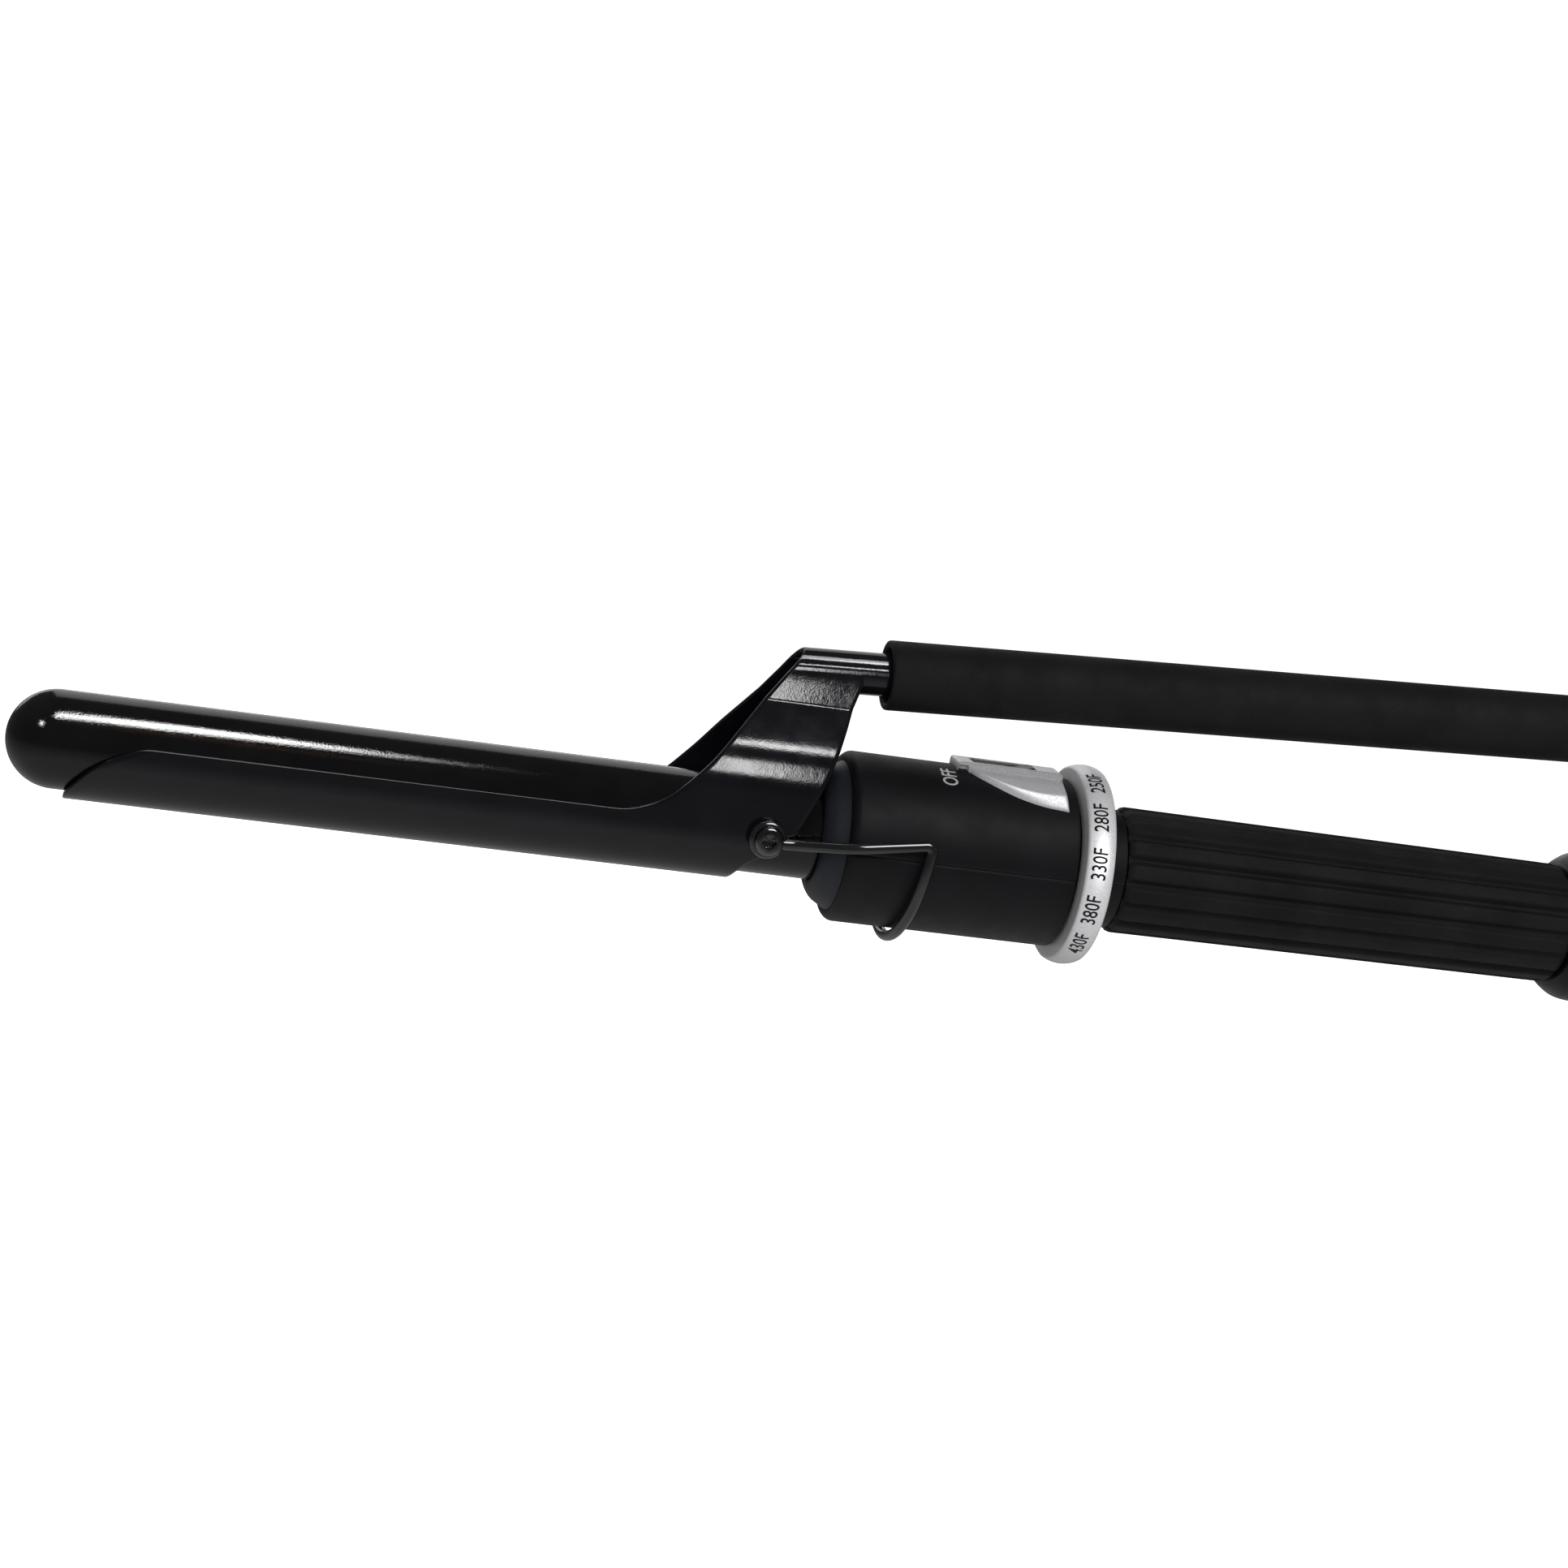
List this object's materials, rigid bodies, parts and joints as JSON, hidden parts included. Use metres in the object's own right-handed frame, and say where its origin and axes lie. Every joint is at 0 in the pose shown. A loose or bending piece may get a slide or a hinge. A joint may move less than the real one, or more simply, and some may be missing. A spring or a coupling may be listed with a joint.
{
  "type": "curling iron",
  "caption": "Lever-type curling iron with a sprungless clamp, turning grips, wire stand, temperature dial ring and swivelling cord outlet.",
  "frame": {"origin": "centre of the bounding box's bottom face", "axes": "+X from the barrel tip to the cord end, +Z towards the lever, +Y across"},
  "size_m": [0.35, 0.041, 0.0699],
  "materials": {
    "ceramic_coat": "gloss black ceramic coat",
    "clamp_enamel": "gloss black enamel on pressed steel",
    "wire_enamel": "gloss black enamel on spring wire",
    "black_screw": "black zinc, bright recess",
    "soft_touch": "matte soft-touch sleeve",
    "housing_plastic": "satin black moulding",
    "collar_plastic": "dark blue-grey heat-proof moulding",
    "silver_paint": "satin silver paint",
    "steel": "plain steel",
    "aluminium_parts": "plain extrusion",
    "brass_parts": "plain brass",
    "white_ceramic": "steatite ceramic",
    "wire_jacket": "silicone-glass sleeving",
    "lead_jacket": "PVC insulation",
    "board_green": "solder-masked laminate",
    "component_black": "moulded component",
    "nylon": "natural nylon",
    "switch_black": "polished moulding"
  },
  "bodies": {
    "handle": {"barrel": "ceramic_coat", "heater_plate": "white_ceramic", "heat_spreaders": "aluminium_parts", "thermistor": "component_black", "thermal_fuse": "steel", "heater_leads": "wire_jacket", "pivot_block": "steel", "pivot_screws": "black_screw", "wave_washers": "steel", "ceramic_insulator": "white_ceramic", "front_collar": "collar_plastic", "housing_upper": "housing_plastic", "housing_lower": "housing_plastic", "housing_screws": "steel", "switch_bezel": "silver_paint", "switch_body": "component_black", "potentiometer": "steel", "circuit_board": "board_green", "triac": "component_black", "capacitor": "component_black", "handle_core": "housing_plastic", "pommel": "switch_black", "contact_carrier": "nylon", "contact_fingers": "brass_parts", "mains_leads": "lead_jacket"},
    "clamp_lever": {"clamp": "clamp_enamel", "lever_rod": "steel", "rod_washer": "steel", "rod_nut": "steel"},
    "upper_grip": {"upper_grip": "soft_touch", "upper_grip_bushes": "nylon", "upper_grip_cap": "soft_touch"},
    "stand": {"stand_wire": "wire_enamel"},
    "dial": {"dial_ring": "silver_paint"},
    "pinion": {"pot_pinion": "nylon"},
    "rocker": {"power_rocker": "switch_black"},
    "lower_grip": {"lower_grip": "soft_touch", "lower_grip_bushes": "nylon"},
    "swivel": {"swivel_outlet": "switch_black", "slip_rings": "brass_parts"}
  },
  "joints": [
    {"name": "clamp_hinge", "type": "hinge", "parent": "handle", "child": "clamp_lever", "pos_m": [-0.029, 0, 0.0205], "axis": [0, -1, 0], "range_deg": [0, 35]},
    {"name": "upper_grip_spin", "type": "hinge", "parent": "clamp_lever", "child": "upper_grip", "pos_m": [-0.029, 0, 0.0528], "axis": [0.9984, 0, 0.0558], "continuous": true},
    {"name": "stand_hinge", "type": "hinge", "parent": "handle", "child": "stand", "pos_m": [-0.029, 0, 0.0205], "axis": [0, 1, 0], "range_deg": [0, 90]},
    {"name": "dial_turn", "type": "hinge", "parent": "handle", "child": "dial", "pos_m": [0.0369, 0, 0.0205], "axis": [-1, 0, 0], "range_deg": [0, 135]},
    {"name": "pinion_turn", "type": "hinge", "parent": "handle", "child": "pinion", "pos_m": [0.0367, 0, 0.0133], "axis": [-1, 0, 0], "range_deg": [0, 270]},
    {"name": "power_rock", "type": "hinge", "parent": "handle", "child": "rocker", "pos_m": [0.019, 0, 0.0368], "axis": [0, 1, 0], "range_deg": [0, 8]},
    {"name": "lower_grip_spin", "type": "hinge", "parent": "handle", "child": "lower_grip", "pos_m": [0.091, 0, 0.0205], "axis": [1, 0, 0], "continuous": true},
    {"name": "cord_swivel", "type": "hinge", "parent": "handle", "child": "swivel", "pos_m": [0.161, 0, 0.0205], "axis": [1, 0, 0], "continuous": true}
  ],
  "couplings": [
    {"joint": "pinion_turn", "follows": "dial_turn", "ratio": 2}
  ]
}
